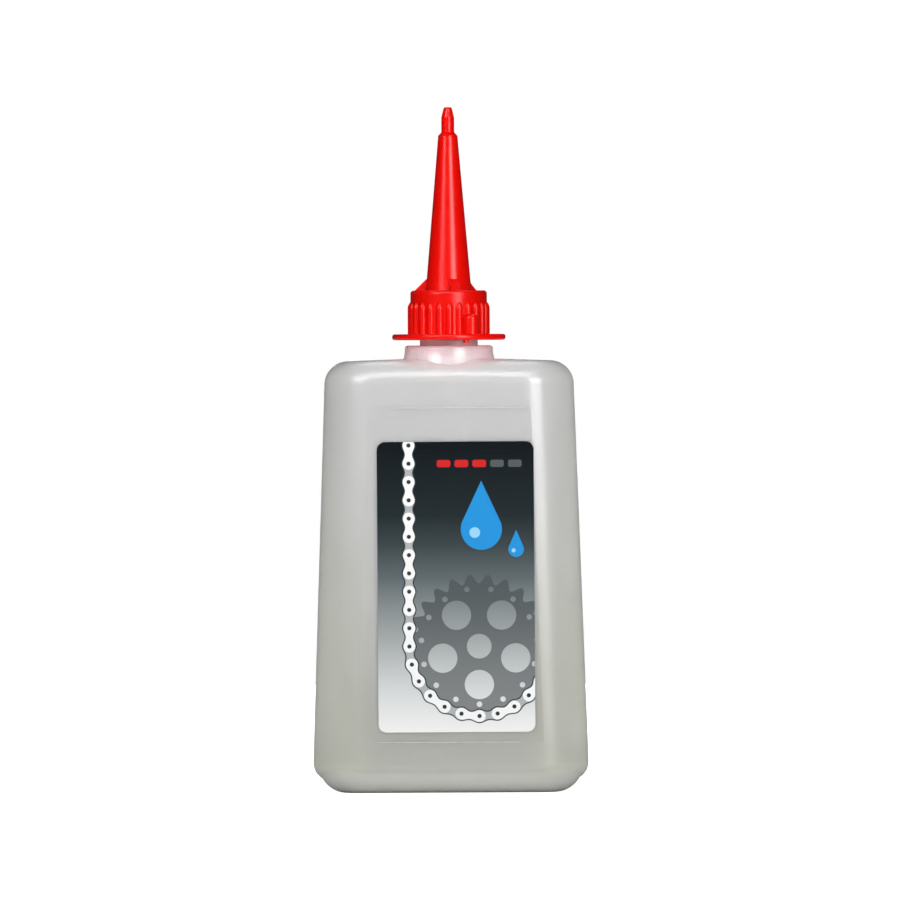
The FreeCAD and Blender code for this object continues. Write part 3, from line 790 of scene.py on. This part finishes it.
# %% [markdown]
# ## Parting line
# Where the two halves of the blow mould meet, a fine ridge is left on the narrow sides and over the
# shoulder. A curve with a bevel could follow it, but the path is one straight run and two arcs, so a small
# section is extruded up the side and then spun round the two centres. One side is made, and a mirror gives
# the other. First the path: the shoulder's small arc touches both the leaning side and the wide arc of the
# crown from inside, and the height of its centre is the upper root of a quadratic.

# %% Parting line path
HALF_WIDTH_AT_GROUND = 30.45 * MM
SHOULDER_HEIGHT = 95.2 * MM
SIDE_LEANS_IN = 3.25 * MM
CROWN_RADIUS = 520 * MM
SHOULDER_ROUND = 5.2 * MM
COLLAR_SIDE = 10.2 * MM

side_taper = SIDE_LEANS_IN / SHOULDER_HEIGHT
crown_middle = SHOULDER_HEIGHT - CROWN_RADIUS
inner_crown = CROWN_RADIUS - SHOULDER_ROUND
slant = math.hypot(1, side_taper)
inset = HALF_WIDTH_AT_GROUND - SHOULDER_ROUND * slant
half_sum = inset * side_taper + crown_middle
rest = inset ** 2 + crown_middle ** 2 - inner_crown ** 2
# The height z of the arc's centre solves slant**2 * z**2 - 2 * half_sum * z + rest = 0.
round_z = (half_sum + math.sqrt(half_sum ** 2 - slant ** 2 * rest)) / slant ** 2
round_x = inset - side_taper * round_z
side_top = round_z + SHOULDER_ROUND * side_taper / slant
side_lean = math.atan(side_taper)
crown_lean = math.atan2(round_z - crown_middle, round_x)
collar_lean = math.acos(COLLAR_SIDE / CROWN_RADIUS)
print("shoulder arc about", round(round_x / MM, 2), round(round_z / MM, 2), "mm")

# %% Parting line
LINE_START = 9 * MM
LINE_WIDTH = 0.26 * MM
LINE_PROUD = 0.06 * MM
LINE_SUNK = 0.10 * MM
LINE_BEVEL = 0.04 * MM
ROUND_STEPS = 20
CROWN_STEPS = 4

side_x = HALF_WIDTH_AT_GROUND - side_taper * LINE_START + (LINE_PROUD - LINE_SUNK) / 2
rise = side_top - LINE_START
bpy.ops.object.select_all(action="DESELECT")
bpy.ops.mesh.primitive_plane_add(size=1, location=(side_x, 0, LINE_START))
bpy.context.object.scale = (LINE_PROUD + LINE_SUNK, LINE_WIDTH, 1)
parting_line = start_piece("parting_line")
bpy.ops.mesh.select_all(action="SELECT")
run = (-side_taper * rise, 0, rise)
bpy.ops.mesh.extrude_region_move(TRANSFORM_OT_translate={"value": run})
for steps, sweep, centre in ((ROUND_STEPS, crown_lean - side_lean, (round_x, 0, round_z)),
                             (CROWN_STEPS, collar_lean - crown_lean, (0, 0, crown_middle))):
    bpy.ops.mesh.spin(steps=steps, angle=sweep, center=centre, axis=(0, 1, 0))
close_piece()
apply_modifier(parting_line, "BEVEL", width=LINE_BEVEL, segments=2, limit_method="ANGLE")
apply_modifier(parting_line, "MIRROR", use_axis=(True, False, False))
bpy.ops.object.mode_set(mode="EDIT")
close_piece()
fit_piece(parting_line, "bottle_body", ridge)

# %% [markdown]
# ## Panel beads
# The label panel is planed a hair deeper than the front. At its upper and lower edge the plastic is rolled
# into a fine bead, which shows as a pale line across the front. A bump could draw it, but a real edge catches
# the light from every side. So each bead is a thin rod that is tapered at its ends, pressed flat against the
# wall and half sunk in it.

# %% Panel beads
BEAD_RADIUS = 0.14 * MM
BEAD_SIDES = 16
BEAD_TIP = 1.2 * MM
BEAD_TIP_SHARE = 0.5
TOP_BEAD = {"height": 84.6 * MM, "front": -12.15 * MM, "half": 14.6 * MM, "proud": 0.016 * MM}
BOTTOM_BEAD = {"height": 11.2 * MM, "front": -13.30 * MM, "half": 15.6 * MM, "proud": 0.03 * MM}


def roll_bead(name, height, front, half, proud):
    """A rod across the front, half a length to each side, that stands proud of the wall."""
    middle = (0, front, height)
    bpy.ops.object.select_all(action="DESELECT")
    bpy.ops.mesh.primitive_cylinder_add(vertices=BEAD_SIDES, radius=BEAD_RADIUS, depth=2 * half,
                                        location=middle, rotation=(0, math.pi / 2, 0))
    bead = start_piece(name)
    for side in (-1, 1):
        pick_faces(bead, lambda centre, normal: normal.x * side > FACING)
        tip = (side * BEAD_TIP, 0, 0)
        bpy.ops.mesh.extrude_region_move(TRANSFORM_OT_translate={"value": tip})
        tip_middle = (side * (half + BEAD_TIP), front, height)
        bpy.ops.transform.resize(value=(1, BEAD_TIP_SHARE, BEAD_TIP_SHARE), center_override=tip_middle)
    bpy.ops.mesh.select_all(action="SELECT")
    bpy.ops.transform.resize(value=(1, proud / BEAD_RADIUS, 1), center_override=middle)
    close_piece()
    fit_piece(bead, "bottle_body", ridge)


roll_bead("panel_bead_top", **TOP_BEAD)
roll_bead("panel_bead_bottom", **BOTTOM_BEAD)

# %% [markdown]
# ## Threads
# Under the cap, one and a half turns of thread run round the neck and the same inside the cap, with a tenth
# of a millimetre between the crests. A ring of separate ridges would be easier, but a screw cap needs a
# helix. So a section is drawn as a plane, the edge that will be the crest is narrowed, and a Screw modifier
# winds its outline upwards. The two ends are closed and run out to nothing.

# %% Thread sizes
THREAD_TURNS = 1.5
THREAD_PITCH = 2.6 * MM
THREAD_ANGLE = THREAD_TURNS * 2 * math.pi
THREAD_CLIMB = THREAD_TURNS * THREAD_PITCH
THREAD_STEPS = 96
ROOT_SHARE = 0.45
CREST_SHARE = 0.4
RUN_OUT = (0.15, 1, 0.5)
THREADS = {
    "neck_thread": {"root": 6.30 * MM, "crest": 6.91 * MM, "start": 101.9 * MM, "body": "bottle_body",
                    "slot": "bottle_plastic", "finish": ridge},
    "cap_thread": {"root": 7.52 * MM, "crest": 7.01 * MM, "start": 103.2 * MM, "body": "cap",
                   "slot": "cap_plastic", "finish": red},
}
print("threads climb", round(THREAD_CLIMB / MM, 2), "mm")

# %% Threads
def wind_thread(name, root, crest, start, body, slot, finish):
    """A thread whose section goes from the root's radius to the crest's, wound up from start."""
    depth = abs(crest - root)
    bpy.ops.object.select_all(action="DESELECT")
    bpy.ops.mesh.primitive_plane_add(size=1, location=((root + crest) / 2, 0, start),
                                     rotation=(math.pi / 2, 0, 0))
    bpy.context.object.scale = (depth, THREAD_PITCH * ROOT_SHARE, 1)
    thread = start_piece(name)
    bpy.ops.mesh.select_mode(type="VERT")
    bpy.ops.object.mode_set(mode="OBJECT")
    for point in thread.data.vertices:
        point.select = abs(point.co.x - crest) < abs(point.co.x - root)
    bpy.ops.object.mode_set(mode="EDIT")
    bpy.ops.transform.resize(value=(1, 1, CREST_SHARE), center_override=(crest, 0, start))
    bpy.ops.mesh.select_all(action="SELECT")
    bpy.ops.mesh.delete(type="ONLY_FACE")
    bpy.ops.object.mode_set(mode="OBJECT")
    apply_modifier(thread, "SCREW", angle=THREAD_ANGLE, screw_offset=THREAD_CLIMB, steps=THREAD_STEPS,
                   render_steps=THREAD_STEPS, axis="Z")
    bpy.ops.object.mode_set(mode="EDIT")
    bpy.ops.mesh.select_all(action="SELECT")
    bpy.ops.mesh.fill_holes(sides=0)
    for turn, height in ((0, start), (THREAD_ANGLE, start + THREAD_CLIMB)):
        end = Vector((root * math.cos(turn), root * math.sin(turn), height))
        pick_faces(thread, lambda centre, normal: (
            (centre - end).length < depth and abs(normal.y) > FACING))
        bpy.ops.transform.resize(value=RUN_OUT, center_override=end)
    close_piece()
    fit_piece(thread, body, finish)


for name, settings in THREADS.items():
    wind_thread(name, **settings)
